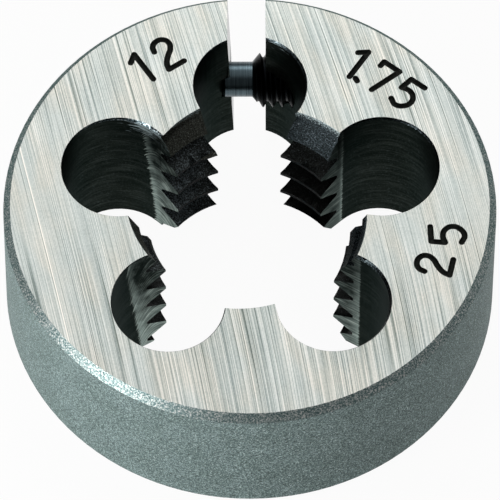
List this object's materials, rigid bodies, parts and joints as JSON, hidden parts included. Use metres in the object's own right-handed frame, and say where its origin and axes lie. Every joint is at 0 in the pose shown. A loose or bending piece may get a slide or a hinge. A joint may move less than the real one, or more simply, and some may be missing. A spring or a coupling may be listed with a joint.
{
  "type": "round threading die",
  "caption": "Round split threading die with chip flutes, threaded lands and an adjusting screw across the split.",
  "frame": {"origin": "centre of the plain bottom face", "axes": "+Z along the thread's axis towards the marked face, +Y through the split, +X along the adjusting screw towards its slotted end"},
  "size_m": [0.025, 0.025, 0.009],
  "materials": {
    "tool_steel": "hardened tool steel, top and bottom faces ground, rim and flutes dark from heat treatment",
    "blackened_steel": "black oxide"
  },
  "bodies": {
    "die": {"die_body": "tool_steel"},
    "screw": {"adjusting_screw": "blackened_steel"}
  },
  "joints": [
    {"name": "screw_travel", "type": "slide", "parent": "die", "child": "screw", "axis": [1, 0, 0], "range_m": [0, 0.002]}
  ]
}
